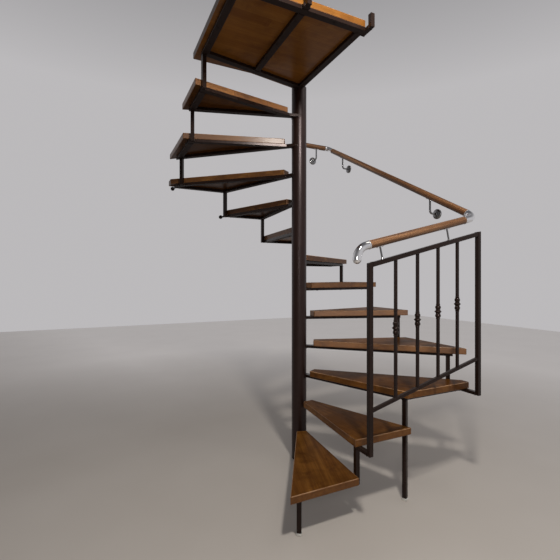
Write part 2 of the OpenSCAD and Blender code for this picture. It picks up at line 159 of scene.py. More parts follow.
class Nodes:
    """A node tree with short ways to add and join its nodes."""

    def __init__(self, tree):
        self.tree = tree

    def add(self, kind, **props):
        node = self.tree.nodes.new(kind)
        for key, value in props.items():
            setattr(node, key, value)
        return node

    def join(self, output, socket):
        self.tree.links.new(output, socket)

    def put(self, socket, value):
        if isinstance(value, bpy.types.NodeSocket):
            self.join(value, socket)
        else:
            socket.default_value = value

    def math(self, operation, first, second=0.0):
        node = self.add("ShaderNodeMath", operation=operation)
        self.put(node.inputs[0], first)
        self.put(node.inputs[1], second)
        return node.outputs[0]

    def vector_math(self, operation, first, second):
        node = self.add("ShaderNodeVectorMath", operation=operation)
        self.put(node.inputs[0], first)
        self.put(node.inputs[1], second)
        return node

    def parts(self, vector):
        """The three parts of a vector."""
        node = self.add("ShaderNodeSeparateXYZ")
        self.join(vector, node.inputs[0])
        return node.outputs

    def mapped(self, vector, location=(0, 0, 0), rotation=(0, 0, 0), scale=(1, 1, 1)):
        node = self.add("ShaderNodeMapping")
        self.join(vector, node.inputs["Vector"])
        for key, value in (("Location", location), ("Rotation", rotation), ("Scale", scale)):
            node.inputs[key].default_value = value
        return node.outputs[0]

    def noise(self, vector, scale, detail, rough, distort=0.0):
        node = self.add("ShaderNodeTexNoise")
        self.join(vector, node.inputs["Vector"])
        node.inputs["Scale"].default_value = scale
        node.inputs["Detail"].default_value = detail
        node.inputs["Roughness"].default_value = rough
        node.inputs["Distortion"].default_value = distort
        return node.outputs["Fac"]

    def ramp(self, fac, stops):
        node = self.add("ShaderNodeValToRGB")
        self.join(fac, node.inputs["Fac"])
        marks = node.color_ramp.elements
        while len(marks) < len(stops):
            marks.new(0.5)
        for mark, (position, colour) in zip(marks, stops):
            mark.position = position
            mark.color = (*colour, 1.0)
        return node.outputs["Color"]

    def span(self, value, low, high, at_low, at_high):
        """Maps low..high to at_low..at_high and holds the ends."""
        node = self.add("ShaderNodeMapRange")
        self.put(node.inputs["Value"], value)
        for i, limit in enumerate((low, high, at_low, at_high)):
            node.inputs[1 + i].default_value = limit
        return node.outputs[0]

    def mix(self, fac, below, above):
        """Lays the colour above over the colour below."""
        node = self.add("ShaderNodeMix", data_type="RGBA")
        self.put(node.inputs["Factor"], fac)
        for socket, value in ((node.inputs[6], below), (node.inputs[7], above)):
            if isinstance(value, bpy.types.NodeSocket):
                self.join(value, socket)
            else:
                socket.default_value = (*value, 1.0)
        return node.outputs[2]


class Material(Nodes):
    """A procedural material round one shader."""

    def __init__(self, name):
        self.made = bpy.data.materials.new(name)
        self.made.use_nodes = True
        super().__init__(self.made.node_tree)
        self.tree.nodes.clear()
        output = self.add("ShaderNodeOutputMaterial")
        self.shader = self.add("ShaderNodeBsdfPrincipled")
        self.join(self.shader.outputs[0], output.inputs["Surface"])

    def look(self, socket, value):
        """Joins a node to a socket of the shader, or sets the socket to one value."""
        self.put(self.shader.inputs[socket], value)

    def place(self):
        return self.add("ShaderNodeTexCoord").outputs["Object"]

    def normal(self):
        return self.add("ShaderNodeNewGeometry").outputs["Normal"]

    def upward(self):
        """How far a face is turned up: 1 on top, 0 on the sides, -1 underneath."""
        return self.parts(self.normal())[2]

    def bump(self, height, strength, distance, after=None):
        node = self.add("ShaderNodeBump")
        node.inputs["Strength"].default_value = strength
        node.inputs["Distance"].default_value = distance
        self.join(height, node.inputs["Height"])
        if after is not None:
            self.join(after, node.inputs["Normal"])
        return node.outputs["Normal"]


def scaled(colour, factor):
    return tuple(v * factor for v in colour)


# Materials

# colours of the boards
STAVE_DARK = (0.176, 0.064, 0.0100)
STAVE_MIDDLE = (0.214, 0.083, 0.0135)
STAVE_LIGHT = (0.256, 0.106, 0.0200)
RING = (0.094, 0.031, 0.0060)
STREAK_DARK = (0.078, 0.025, 0.0050)
STREAK_LIGHT = (0.330, 0.150, 0.030)
FIBRE = (0.092, 0.031, 0.0075)
PORE = (0.038, 0.014, 0.005)
CLOUD = (0.062, 0.021, 0.0045)
BLOTCH = (0.046, 0.015, 0.0036)
GLUE = (0.035, 0.013, 0.005)
# paler colour for the upright edges: partly sanded wood, partly painted sheen and light
SANDED_AND_SHEEN = (0.300, 0.190, 0.135)
# painted shade for the undersides
UNDERSIDE_SHADE = (0.050, 0.019, 0.0045)
TOP_DARKER = (0.058, 0.021, 0.0035)
BROWN_ENDS = (0.120, 0.054, 0.024)
# nearly black end grain: painted shade
SHADED_ENDS = (0.050, 0.026, 0.014)
BOARD_ROUGH = 0.34
VARNISH = 0.32
# a glue line is dark this far from the joint and fades out that far from it
GLUE_HALF = 0.0002
GLUE_FADE = 0.0006


def glue_line(mat, steps, pitch):
    """1 on the thin line between one stave and the next. Steps counts staves of the given pitch."""
    from_middle = mat.math("ABSOLUTE", mat.math("SUBTRACT", mat.math("FRACT", steps), 0.5))
    return mat.span(from_middle, 0.5 - GLUE_FADE / pitch, 0.5 - GLUE_HALF / pitch, 0.0, 1.0)


def staves(mat, along, stave, length, seed):
    """Gives each stave's own random values and the glue lines, for rows whose ends are out of step."""
    xyz = mat.parts(along)
    across = mat.math("DIVIDE", xyz[1], stave)
    row = mat.math("FLOOR", across)
    shift = mat.add("ShaderNodeTexWhiteNoise", noise_dimensions="1D")
    mat.put(shift.inputs["W"], mat.math("ADD", row, seed * 7.3))
    run = mat.math("ADD", mat.math("DIVIDE", xyz[0], length), mat.math("MULTIPLY", shift.outputs[0], 5.0))
    pair = mat.add("ShaderNodeCombineXYZ")
    mat.join(mat.math("ADD", row, seed * 3.1), pair.inputs[0])
    mat.join(mat.math("FLOOR", run), pair.inputs[1])
    own = mat.add("ShaderNodeTexWhiteNoise", noise_dimensions="2D")
    mat.join(pair.outputs[0], own.inputs["Vector"])
    lines = mat.math("MAXIMUM", glue_line(mat, across, stave), glue_line(mat, run, length))
    return own, lines


def grain(mat, along, own):
    """Rings, fibre, pores and streaks. Each stave is cut from another place in its own log."""
    offset = mat.vector_math("MULTIPLY", own.outputs["Color"], (3.0, 0.16, 0.10))
    log = mat.vector_math("ADD", along, offset.outputs[0]).outputs[0]
    warp = mat.noise(mat.mapped(log, scale=(1.6, 9.0, 9.0)), 1.0, 3.0, 0.55)
    rings = mat.add("ShaderNodeTexWave", wave_type="RINGS", rings_direction="X", wave_profile="SIN")
    mat.join(mat.mapped(log, scale=(0.10, 1, 1)), rings.inputs["Vector"])
    for key, value in (("Scale", 34.0), ("Distortion", 2.6), ("Detail", 2.0), ("Detail Scale", 1.2)):
        rings.inputs[key].default_value = value
    mat.join(mat.math("MULTIPLY", warp, 16.0), rings.inputs["Phase Offset"])
    fibre = mat.noise(mat.mapped(log, scale=(7.0, 380.0, 380.0)), 1.0, 4.0, 0.6)
    pores = mat.noise(mat.mapped(log, scale=(34.0, 900.0, 900.0)), 1.0, 2.0, 0.5)
    streak = mat.noise(mat.mapped(log, scale=(1.2, 34.0, 34.0)), 1.0, 3.0, 0.55)
    return rings.outputs["Fac"], fibre, pores, streak


def wood(name, angle, seed, stave=0.058, length=0.82, stain_and_light=1.0, figure=1.0, under=0.40, pale_and_sheen=0.0,
         soak_and_shade=0.50, soaked_and_shaded=BROWN_ENDS, sheen=0.10):
    """Varnished boards of edge-glued staves that run along the given compass angle.

    The staves are lightened or darkened per board, partly as uneven stain and partly as painted light and
    shade, and figure strengthens their markings. Further arguments set the painted shade on the underside,
    how far the upright edges are painted paler, partly as sanded wood and partly as painted sheen and light,
    and how far the end grain is stained darker, where the nearly black colour is painted shade. Sheen is the
    varnish left underneath.
    """
    mat = Material(name)
    place = mat.place()
    level = (0, 0, math.radians(-angle))
    along = mat.mapped(place, rotation=level, location=(seed * 0.37, seed * 0.013, 0))
    own, lines = staves(mat, along, stave, length, seed)
    ring, fibre, pores, streak = grain(mat, along, own)
    cloud = mat.noise(place, 3.4, 3.0, 0.6, 0.4)
    blotch = mat.noise(mat.mapped(place, location=(seed * 1.7, 4.1, 0)), 9.0, 3.0, 0.65, 0.6)
    upward = mat.upward()
    upright = mat.math("ABSOLUTE", upward)

    calm = 0.5 * (1 - figure)
    tones = ((0.0, STAVE_DARK), (0.5, STAVE_MIDDLE), (1.0, STAVE_LIGHT))
    # each tread's factor scales the staves' tone: partly uneven stain, partly painted light and shade
    col = mat.ramp(mat.span(own.outputs["Value"], 0.0, 1.0, calm, 1 - calm),
                   [(position, scaled(tone, stain_and_light)) for position, tone in tones])
    col = mat.mix(mat.span(ring, 0.45, 1.0, 0.0, 0.36 * figure), col, RING)
    col = mat.mix(mat.span(streak, 0.48, 0.68, 0.0, 0.60 * figure), col, STREAK_DARK)
    col = mat.mix(mat.span(streak, 0.46, 0.30, 0.0, 0.40 * figure), col, STREAK_LIGHT)
    col = mat.mix(mat.span(fibre, 0.42, 0.64, 0.0, 0.26), col, FIBRE)
    col = mat.mix(mat.span(pores, 0.60, 0.74, 0.0, 0.38), col, PORE)
    # the stain took unevenly: soft dark clouds and some smaller spots
    col = mat.mix(mat.span(cloud, 0.42, 0.62, 0.0, 0.60 * figure), col, CLOUD)
    col = mat.mix(mat.span(blotch, 0.52, 0.68, 0.0, 0.58 * figure), col, BLOTCH)
    # the glue lines are thin and dark
    col = mat.mix(mat.math("MULTIPLY", lines, 0.45), col, GLUE)
    # end grain has drunk more stain than the long faces; where it is nearly black this is painted shade
    lengthways = mat.parts(mat.mapped(mat.normal(), rotation=level))[0]
    col = mat.mix(mat.span(mat.math("ABSOLUTE", lengthways), 0.55, 0.90, 0.0, soak_and_shade), col, soaked_and_shaded)
    # the upright edges are painted paler, more on some treads than others: partly sanded wood, partly
    # painted sheen and light
    col = mat.mix(mat.span(upright, 0.3, 0.7, pale_and_sheen, 0.0), col, scaled(SANDED_AND_SHEEN, stain_and_light))
    # painted shade darkens the undersides
    col = mat.mix(mat.span(upward, -0.5, -0.95, 0.0, under), col, UNDERSIDE_SHADE)
    # the top is darker, in patches, than the edges
    on_top = mat.span(upward, 0.6, 0.95, 0.0, 1.0)
    top_darkening = mat.math("MULTIPLY", on_top, mat.span(cloud, 0.30, 0.62, 0.18, 0.55))
    mat.look("Base Color", mat.mix(top_darkening, col, TOP_DARKER))

    smear = mat.span(mat.noise(place, 14.0, 3.0, 0.6), 0.3, 0.7, BOARD_ROUGH - 0.04, BOARD_ROUGH + 0.06)
    mat.look("Roughness", mat.math("ADD", smear, mat.math("MULTIPLY", ring, 0.03)))
    relief = mat.math("ADD", mat.math("MULTIPLY", ring, -0.20), mat.math("MULTIPLY", fibre, 0.5))
    relief = mat.math("SUBTRACT", relief, mat.math("MULTIPLY", lines, 0.8))
    waves = mat.noise(place, 22.0, 2.0, 0.5)
    mat.look("Normal", mat.bump(waves, 0.08, 0.004, mat.bump(relief, 0.20, 0.0005)))
    # the varnish still shines on the edges, feet have dulled it on top and underneath it is thin
    above, below = mat.span(upward, 0.3, 0.9, VARNISH, 0.0), mat.span(upward, -0.9, -0.5, sheen, VARNISH)
    mat.look("Coat Weight", mat.math("MINIMUM", above, below))
    mat.look("Coat Roughness", 0.26)
    mat.look("IOR", 1.08)
    return mat.made


def turned_wood(name, axis, seed):
    """The round handrail: grain along the given axis, mid brown and satin."""
    mat = Material(name)
    place = mat.place()
    turn = Vector(axis).normalized().rotation_difference(Vector((1, 0, 0))).to_euler()
    along = mat.mapped(place, rotation=tuple(turn), location=(seed * 0.7, seed * 0.031, seed * 0.017))
    warp = mat.noise(mat.mapped(along, scale=(1.3, 14.0, 14.0)), 1.0, 3.0, 0.55)
    bands = mat.noise(mat.mapped(along, scale=(1.1, 60.0, 60.0)), 1.0, 3.0, 0.6, 0.4)
    fibre = mat.noise(mat.mapped(along, scale=(12.0, 520.0, 520.0)), 1.0, 4.0, 0.6)
    pores = mat.noise(mat.mapped(along, scale=(45.0, 1100.0, 1100.0)), 1.0, 2.0, 0.5)
    patch = mat.noise(mat.mapped(along, scale=(4.0, 20.0, 20.0)), 1.0, 3.0, 0.6)
    col = mat.ramp(mat.math("ADD", mat.math("MULTIPLY", bands, 0.75), mat.math("MULTIPLY", warp, 0.3)), [
        (0.41, (0.085, 0.034, 0.011)), (0.50, (0.190, 0.086, 0.034)), (0.60, (0.310, 0.160, 0.076))])
    col = mat.mix(mat.span(patch, 0.50, 0.66, 0.0, 0.50), col, (0.095, 0.042, 0.016))
    col = mat.mix(mat.span(fibre, 0.40, 0.62, 0.0, 0.45), col, (0.105, 0.045, 0.018))
    col = mat.mix(mat.span(pores, 0.60, 0.72, 0.0, 0.5), col, (0.050, 0.021, 0.010))
    # painted shade darkens the lower half of the rail, most of all underneath
    col = mat.mix(mat.span(mat.upward(), 0.1, -0.7, 0.0, 0.55), col, (0.050, 0.020, 0.008))
    mat.look("Base Color", col)
    mat.look("Roughness", mat.span(mat.noise(place, 18.0, 3.0, 0.6), 0.3, 0.7, 0.30, 0.42))
    mat.look("Normal", mat.bump(fibre, 0.22, 0.0006))
    mat.look("IOR", 1.34)
    mat.look("Coat Weight", 0.14)
    mat.look("Coat Roughness", 0.20)
    return mat.made


def paint(name, rough=0.25, peel=0.06, base=(0.0128, 0.0064, 0.0044), wave=0.05, ior=1.33,
          tint=(1.0, 0.86, 0.84)):
    """Dark brown enamel on steel, with a fine orange peel and a little dust."""
    mat = Material(name)
    place = mat.place()
    upward = mat.upward()
    cloud = mat.noise(place, 5.0, 4.0, 0.6)
    speck = mat.noise(place, 900.0, 2.0, 0.5)
    col = mat.ramp(cloud, [(0.30, scaled(base, 0.80)), (0.70, scaled(base, 1.35))])
    on_top = mat.span(upward, 0.55, 0.95, 0.0, 1.0)
    dust = mat.math("MULTIPLY", on_top, mat.span(cloud, 0.40, 0.70, 0.15, 0.55))
    col = mat.mix(mat.math("MULTIPLY", dust, 0.14), col, (0.16, 0.125, 0.10))
    col = mat.mix(mat.span(speck, 0.66, 0.74, 0.0, 0.22), col, (0.040, 0.026, 0.020))
    mat.look("Base Color", col)
    # the paint is thin and dull underneath
    dull = mat.math("ADD", mat.math("MULTIPLY", dust, 0.25), mat.span(upward, -0.5, -0.95, 0.0, 0.40))
    mat.look("Roughness", mat.math("ADD", mat.span(cloud, 0.3, 0.7, rough - 0.04, rough + 0.06), dull))
    fine = mat.bump(mat.noise(place, 260.0, 3.0, 0.55), peel, 0.0008)
    mat.look("Normal", mat.bump(mat.noise(place, 42.0, 2.0, 0.5), wave, 0.003, fine))
    mat.look("IOR", ior)
    mat.look("Specular Tint", (*tint, 1.0))
    return mat.made


def chrome(name, rough, tone=1.0):
    """Polished metal with smears. Tone below 1 darkens the colour as a painted dark reflection, for pieces
    that mirror a dark side of the room.
    """
    mat = Material(name)
    place = mat.place()
    smear = mat.noise(place, 40.0, 4.0, 0.6)
    dim, bright = scaled((0.82, 0.82, 0.83), tone), scaled((0.93, 0.93, 0.94), tone)
    mat.look("Base Color", mat.ramp(smear, [(0.3, dim), (0.7, bright)]))
    mat.look("Metallic", 1.0)
    mat.look("Roughness", mat.span(smear, 0.35, 0.75, rough, rough + 0.12))
    mat.look("Normal", mat.bump(mat.noise(place, 700.0, 2.0, 0.5), 0.03, 0.0004))
    return mat.made


def plastic(name):
    """Light grey moulded plastic with a fine grain and some grime."""
    mat = Material(name)
    place = mat.place()
    grime = mat.noise(place, 60.0, 3.0, 0.6)
    mat.look("Base Color", mat.ramp(grime, [(0.3, (0.50, 0.48, 0.44)), (0.7, (0.70, 0.69, 0.65))]))
    mat.look("Roughness", mat.span(grime, 0.3, 0.7, 0.55, 0.70))
    mat.look("Normal", mat.bump(mat.noise(place, 800.0, 2.0, 0.5), 0.15, 0.0004))
    return mat.made


def edge_nicks_and_highlight(name, seed):
    """The rounded arris of a board: darker than the boards, with dark nicks and a painted highlight along
    the top in an uneven line.
    """
    mat = Material(name)
    place = mat.place()
    edge_noise = mat.noise(mat.mapped(place, location=(seed, 0, 0)), 16.0, 4.0, 0.65)
    nick = mat.noise(place, 120.0, 3.0, 0.6)
    col = mat.ramp(nick, [(0.3, (0.110, 0.042, 0.009)), (0.7, (0.165, 0.066, 0.015))])
    # a painted highlight lightens the top of the arris in an uneven line
    on_top = mat.span(mat.upward(), 0.10, 0.50, 0.0, 1.0)
    painted_highlight = mat.math("MULTIPLY", on_top, mat.span(edge_noise, 0.36, 0.58, 0.22, 1.00))
    col = mat.mix(painted_highlight, col, (0.420, 0.235, 0.115))
    mat.look("Base Color", mat.mix(mat.span(nick, 0.62, 0.72, 0.0, 0.6), col, (0.060, 0.024, 0.008)))
    mat.look("Roughness", mat.span(edge_noise, 0.3, 0.7, 0.30, 0.48))
    mat.look("Normal", mat.bump(nick, 0.25, 0.0006))
    mat.look("IOR", 1.45)
    return mat.made


STEEL = paint("dark_steel_paint")
COLUMN_STEEL = paint("column_paint", rough=0.36, peel=0.004, base=(0.0125, 0.0050, 0.0030), wave=0.004,
                     ior=1.45, tint=(1.0, 0.85, 0.87))
WELD = paint("weld_paint", rough=0.38, peel=0.20, base=(0.0100, 0.0054, 0.0044))
SCREW = paint("screw_paint", rough=0.34, peel=0.10, base=(0.0120, 0.0075, 0.0060))
CHROME = chrome("polished_chrome", 0.05)
# the pins, wall brackets and rosettes get a painted dark reflection
CHROME_PAINTED_DARK = chrome("chrome_painted_dark_reflection", 0.06, 0.30)
FOOT = plastic("foot_plastic")
EDGE = edge_nicks_and_highlight("wood_edge_nicks_and_highlight", 3)


# The part's own pieces

BOARD_BEVEL = 0.0038
STEEL_BEVEL = 0.0016
FOOT_BEVEL = 0.002
BEVEL_ANGLE = 40
# the CAD's faces come apart at their edges, so points this close are joined before the edges are rounded
SAME_POINT = 0.00002


def dress(node, mat, bevel=0.0, segments=3, edge=None):
    """Gives a node its material and rounds its edges. The rounded edge may have a material of its own."""
    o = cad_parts[node]
    o.data.materials.clear()
    o.data.materials.append(mat)
    if edge:
        o.data.materials.append(edge)
    if bevel:
        o.modifiers.new("joined_faces", "WELD").merge_threshold = SAME_POINT
        soft = o.modifiers.new("soft_edges", "BEVEL")
        soft.width = bevel
        soft.segments = segments
        soft.limit_method = "ANGLE"
        soft.angle_limit = math.radians(BEVEL_ANGLE)
        soft.material = 1 if edge else -1


# by tread: how light its staves are, partly uneven stain and partly painted light and shade, and how pale
# its upright edges are, partly sanded wood and partly painted sheen and light
TREAD_STAIN_AND_LIGHT = {4: 1.50, 5: 1.35, 6: 0.90, 7: 0.45, 9: 0.20, 10: 0.55, 11: 0.70, 12: 1.70}
EDGE_PALE_AND_SHEEN = {4: 0.28, 5: 0.45, 6: 0.28, 7: 0.12, 8: 0.10, 9: 0.10, 10: 0.12, 11: 0.55, 12: 0.15}
# treads whose end grain is painted nearly black as painted shade, and treads with more painted shade
# underneath
SHADED_ENDED = (8, 9, 10)
SHADED_BELOW = (10, 11, 12)
DEEP_SOAK_AND_SHADE = 0.85
UNDER_SHADE_AMOUNT = 0.75


def dress_boards():
    for k in range(1, TREADS + 1):
        own = {"soak_and_shade": DEEP_SOAK_AND_SHADE, "soaked_and_shaded": SHADED_ENDS} if k in SHADED_ENDED else {}
        if k in SHADED_BELOW:
            own["under"] = UNDER_SHADE_AMOUNT
        boards = wood("tread_wood_%02d" % k, tread_angle(k), k, stain_and_light=TREAD_STAIN_AND_LIGHT.get(k, 1.0),
                      pale_and_sheen=EDGE_PALE_AND_SHEEN.get(k, 0.0), **own)
        dress("tread_%02d" % k, boards, BOARD_BEVEL, edge=EDGE)
    boards = wood("landing_wood", 0.0, 31, stave=0.064, length=1.30, stain_and_light=0.98, figure=0.45, under=0.0,
                  soak_and_shade=DEEP_SOAK_AND_SHADE, soaked_and_shaded=SHADED_ENDS, sheen=VARNISH)
    dress("landing_board", boards, BOARD_BEVEL, edge=EDGE)


def dress_steel():
    for node in ("tread_front_bars", "tread_back_bars", "tread_end_bars", "tread_corner_bars",
                 "landing_front_bar", "landing_far_bar", "landing_cross_bars", "struts", "floor_posts",
                 "hanger_arms", "ceiling_hangers", "guard_brackets", "guard_posts", "guard_rails",
                 "guard_balusters", "wall_fixings"):
        dress(node, STEEL, STEEL_BEVEL, 2)
    dress("column", COLUMN_STEEL)
    dress("post_feet", FOOT, FOOT_BEVEL)


def dress_handrail():
    dress("lower_handrail", turned_wood("rail_wood_lower", RAIL_DIR, 1))
    dress("wall_handrail", turned_wood("rail_wood_wall", WALL_DIR, 2))
    dress("back_handrail", turned_wood("rail_wood_back", (1, 0, 0), 3))
    for node in ("handrail_end_tip", "handrail_end_bend", "handrail_sleeves", "handrail_front_joint",
                 "handrail_back_joint", "handrail_end_cap"):
        dress(node, CHROME)
    for node in ("handrail_pins", "wall_brackets"):
        dress(node, CHROME_PAINTED_DARK)


dress_boards()
dress_steel()
dress_handrail()


# Small pieces in joined meshes

BEAD_STEP = 0.0032
BEAD_SIDES = 6
SMOOTH_ANGLE = 50
SADDLE_LET_IN = 0.0003


def add_object(name, data):
    o = bpy.data.objects.new(name, data)
    bpy.context.scene.collection.objects.link(o)
    return o


def full_turn(count):
    """Evenly spaced angles round a full turn."""
    return [2 * math.pi * i / count for i in range(count)]


def around(turn, x, y):
    """The direction at an angle from x towards y."""
    return x * math.cos(turn) + y * math.sin(turn)


def hexagon(turn):
    """How far out the flats of a hexagon are at an angle, where its corners are at 1."""
    return math.cos(math.pi / 6) / math.cos((turn % (math.pi / 3)) - math.pi / 6)


class Shape:
    """Many small closed forms that are kept as one mesh."""

    def __init__(self):
        self.bm = bmesh.new()

    def rings(self, rows):
        """Skins rings of points one after the other and closes both ends."""
        rows = [[self.bm.verts.new(point) for point in row] for row in rows]
        count = len(rows[0])
        for a, b in zip(rows, rows[1:]):
            for i in range(count):
                j = (i + 1) % count
                self.bm.faces.new((a[i], a[j], b[j], b[i]))
        self.bm.faces.new(rows[0][::-1])
        self.bm.faces.new(rows[-1])

    def lathe(self, at, axis, profile, sides, six=()):
        """Turns (radius, height) pairs about an axis. Rings listed in six are hexagons."""
        x = axis.orthogonal().normalized()
        y = axis.cross(x)
        rows = []
        for j, (radius, height) in enumerate(profile):
            row = []
            for turn in full_turn(sides):
                flat = hexagon(turn) if j in six else 1.0
                row.append(at + axis * height + around(turn, x, y) * radius * flat)
            rows.append(row)
        self.rings(rows)

    def bead(self, points, radius):
        """A weld bead along a line of points: a tube that swells and thins with each pass of the torch."""
        path = []
        for a, b in zip(points, points[1:]):
            count = max(2, int((b - a).length / BEAD_STEP))
            path += [a.lerp(b, i / count) for i in range(count)]
        path.append(points[-1])
        last = len(path) - 1
        rows = []
        for i, point in enumerate(path):
            ahead = (path[min(i + 1, last)] - path[max(i - 1, 0)]).normalized()
            x = ahead.orthogonal().normalized()
            y = ahead.cross(x)
            r = radius * (0.86 + 0.22 * abs(math.sin(i * 1.25)) + random.uniform(-0.07, 0.07))
            if i in (0, last):
                r *= 0.55
            rows.append([point + around(turn, x, y) * r for turn in full_turn(BEAD_SIDES)])
        self.rings(rows)

    def screw(self, at, axis, r=0.0048):
        """A button head with a hexagon socket."""
        profile = [(r * 0.96, -0.0004), (r, 0.0004), (r * 0.97, 0.0012), (r * 0.84, 0.0022),
                   (r * 0.64, 0.0028), (r * 0.47, 0.0028), (r * 0.44, 0.0008), (r * 0.10, 0.0008)]
        self.lathe(at, axis, profile, 12, six=(5, 6))

    def saddle(self, at, along, down, length, half):
        """A curved plate with rounded ends under the round rail. Half is half of the angle that it hugs."""
        across = along.cross(down)
        steps, inside = 16, RAIL_R - SADDLE_LET_IN
        rows = []
        for i in range(steps + 1):
            u = -1 + 2 * i / steps
            width = half * max(0.12, (1 - abs(u) ** 5) ** 0.4)
            outside = RAIL_R + SADDLE_T * max(0.25, (1 - abs(u) ** 10) ** 0.5)
            edge = [width * (-1 + j / 4) for j in range(9)]
            row = [(turn, outside) for turn in edge] + [(-turn, inside) for turn in edge]
            middle = at + along * (u * length / 2)
            rows.append([middle + around(turn, down, across) * r for turn, r in row])
        self.rings(rows)

    def done(self, name, mat):
        """Makes the forms one object that rides on the part."""
        bmesh.ops.recalc_face_normals(self.bm, faces=self.bm.faces)
        mesh = bpy.data.meshes.new(name)
        self.bm.to_mesh(mesh)
        self.bm.free()
        mesh.materials.append(mat)
        mesh.shade_smooth()
        mesh.set_sharp_from_angle(angle=math.radians(SMOOTH_ANGLE))
        o = add_object(name, mesh)
        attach(o, "root")
        return o


# radii of the beads
SMALL_BEAD = 0.0018
RAIL_BEAD = 0.0020
CORNER_BEAD = 0.0022
BAR_BEAD = 0.0024
STRUT_BEAD = 0.0026
COLUMN_BEAD = 0.003


def bar_on_column(shape, angle, low, high, z):
    """The weld round a flat bar that runs out from the column, under it and up its two sides."""
    widest, steps = COLUMN_R * 0.98, 12
    low, high = max(low, -widest), min(high, widest)
    sides = [low + (high - low) * i / steps for i in range(steps + 1)]
    arc = [out(angle, math.sqrt(COLUMN_R ** 2 - side * side), side, z) for side in sides]
    shape.bead([arc[0] + UP * BAR_H] + arc + [arc[-1] + UP * BAR_H], COLUMN_BEAD)


def under_bar(shape, start, end, radius):
    """The weld across a flat bar's underside and up both of its sides."""
    shape.bead([start + UP * BAR_H, start, end, end + UP * BAR_H], radius)


def square_ring(shape, at, angle, width, radius, lift=0.0):
    """A weld round the end of a square tube. Lift is the rise along X per metre."""
    c, s = math.cos(math.radians(angle)), math.sin(math.radians(angle))
    points = []
    for x, y in ((-1, -1), (1, -1), (1, 1), (-1, 1), (-1, -1)):
        dx, dy = (x * c - y * s) * width / 2, (x * s + y * c) * width / 2
        points.append(at + Vector((dx, dy, dx * lift)))
    shape.bead(points, radius)


def outer_bar_welds(shape, k):
    """The welds of the outer bar: at the front bar, the back bar and, at a corner, the second outer bar."""
    z, front, back = frame_low(k), line_angle(k - 1), line_angle(k)
    inner = FRAME_HALF - BAR_W
    for angle, side in ((front, BAR_PAST + BAR_W), (back, BAR_PAST - BAR_W)):
        near = out(angle, reach(angle, side, inner), side, z)
        far = out(angle, reach(angle, side, FRAME_HALF), side, z)
        shape.bead([near, far, far + UP * BAR_H], CORNER_BEAD)
    # the sides of the plan are counted from 45 degrees before the +X axis, a full turn earlier
    first_side, last_side = math.floor((front + 405) / 90), math.floor((back + 405) / 90)
    if first_side != last_side:
        corner_x = 1 if last_side % 4 in (0, 1) else -1
        corner_y = 1 if last_side % 4 in (1, 2) else -1
        near = Vector((corner_x * inner, corner_y * inner, z))
        if last_side % 2:
            far = Vector((corner_x * FRAME_HALF, corner_y * inner, z))
        else:
            far = Vector((corner_x * inner, corner_y * FRAME_HALF, z))
        shape.bead([near, far, far + UP * BAR_H], CORNER_BEAD)


def strut_welds(shape, k):
    """The strut behind a tread's back bar, at the bar and under the frame or the landing above."""
    angle, z = line_angle(k), frame_low(k)
    r = reach(angle, STRUT_BACK, STRUT_HALF) - STRUT_NEARER.get(k, 0.0)
    start, end = out(angle, r - STRUT_W / 2, BAR_PAST, z), out(angle, r + STRUT_W / 2, BAR_PAST, z)
    under_bar(shape, start, end, BAR_BEAD)
    top = LANDING_LOW if k == TREADS else frame_low(k + 1)
    square_ring(shape, out(angle, r, STRUT_BACK, top), angle, STRUT_W, STRUT_BEAD)


def post_foot(k):
    """The foot of the floor post on the line before tread k + 1."""
    angle = line_angle(k)
    return out(angle, reach(angle, STRUT_BACK, STRUT_HALF), STRUT_BACK, 0)


def frame_welds():
    shape = Shape()
    for k in range(1, TREADS + 1):
        bar_on_column(shape, line_angle(k - 1), BAR_PAST, BAR_PAST + BAR_W, frame_low(k))
        bar_on_column(shape, line_angle(k), BAR_PAST - BAR_W, BAR_PAST, frame_low(k))
        outer_bar_welds(shape, k)
        strut_welds(shape, k)
    square_ring(shape, post_foot(0) + UP * frame_low(1), line_angle(0), STRUT_W, STRUT_BEAD)
    shape.done("frame_welds", WELD)


def landing_welds():
    shape = Shape()
    z, angle, side = LANDING_LOW, line_angle(TREADS), BAR_PAST + BAR_W
    bar_on_column(shape, angle, BAR_PAST, side, z)
    for x in (-FRAME_HALF, MIDDLE_BAR_X, LANDING_PAST - BAR_W):
        y = -LANDING_DEPTH + BAR_W
        under_bar(shape, Vector((x, y, z)), Vector((x + BAR_W, y, z)), BAR_BEAD)
    # the cross bars end at the slanting front bar
    c, s = math.cos(math.radians(angle)), math.sin(math.radians(angle))
    for x in (-FRAME_HALF, MIDDLE_BAR_X):
        start, end = [Vector((u, (side + u * s) / c, z)) for u in (x, x + BAR_W)]
        under_bar(shape, start, end, BAR_BEAD)
    # the arms and the hangers, welded all round
    x, y = LANDING_PAST, HANGER_Y + HANGER_W / 2
    middle = MIDDLE_BAR_X + (BAR_W - HANGER_W) / 2
    for start_x, wide, at_y in ((x, HANGER_W, y + CORNER_ARM), (x, HANGER_W, y),
                                (MIDDLE_BAR_X, BAR_W, -LANDING_DEPTH), (middle, HANGER_W, y)):
        start, end = Vector((start_x, at_y, z)), Vector((start_x + wide, at_y, z))
        shape.bead([start + UP * BAR_H, start, end, end + UP * BAR_H, start + UP * BAR_H], CORNER_BEAD)
    shape.done("landing_welds", WELD)


